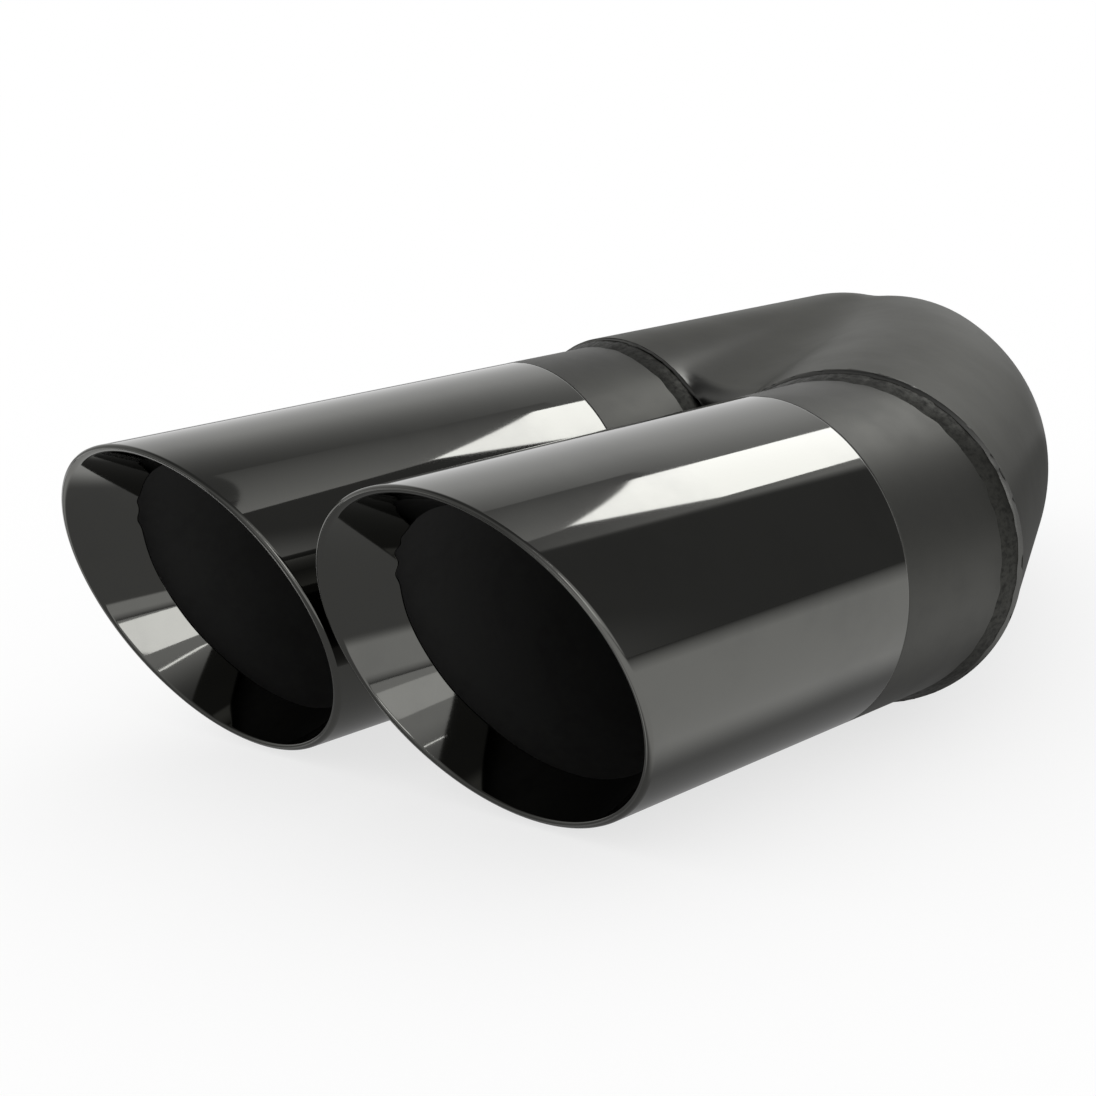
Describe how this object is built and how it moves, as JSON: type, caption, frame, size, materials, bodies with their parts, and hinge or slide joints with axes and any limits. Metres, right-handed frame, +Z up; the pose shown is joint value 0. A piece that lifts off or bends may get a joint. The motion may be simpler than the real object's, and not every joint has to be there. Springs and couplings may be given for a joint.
{
  "type": "exhaust y-pipe",
  "caption": "Exhaust y-pipe with slash-cut glossy dark tips side by side, satin collars and a formed Y-body that runs back to an inlet socket.",
  "frame": {"origin": "centre of the inlet socket's open end", "axes": "+Z up; the tips point along -Y, side by side along X"},
  "size_m": [0.1675, 0.2965, 0.0794],
  "materials": {
    "black_chrome": "polished black chrome",
    "satin_collar": "satin dark plating",
    "satin_body": "satin dark coating",
    "weld_metal": "dull coated weld bead"
  },
  "bodies": {
    "root": {"left_tip": "black_chrome", "right_tip": "black_chrome", "left_collar": "satin_collar", "right_collar": "satin_collar", "y_body": "satin_body", "left_weld": "weld_metal", "right_weld": "weld_metal"}
  },
  "joints": []
}
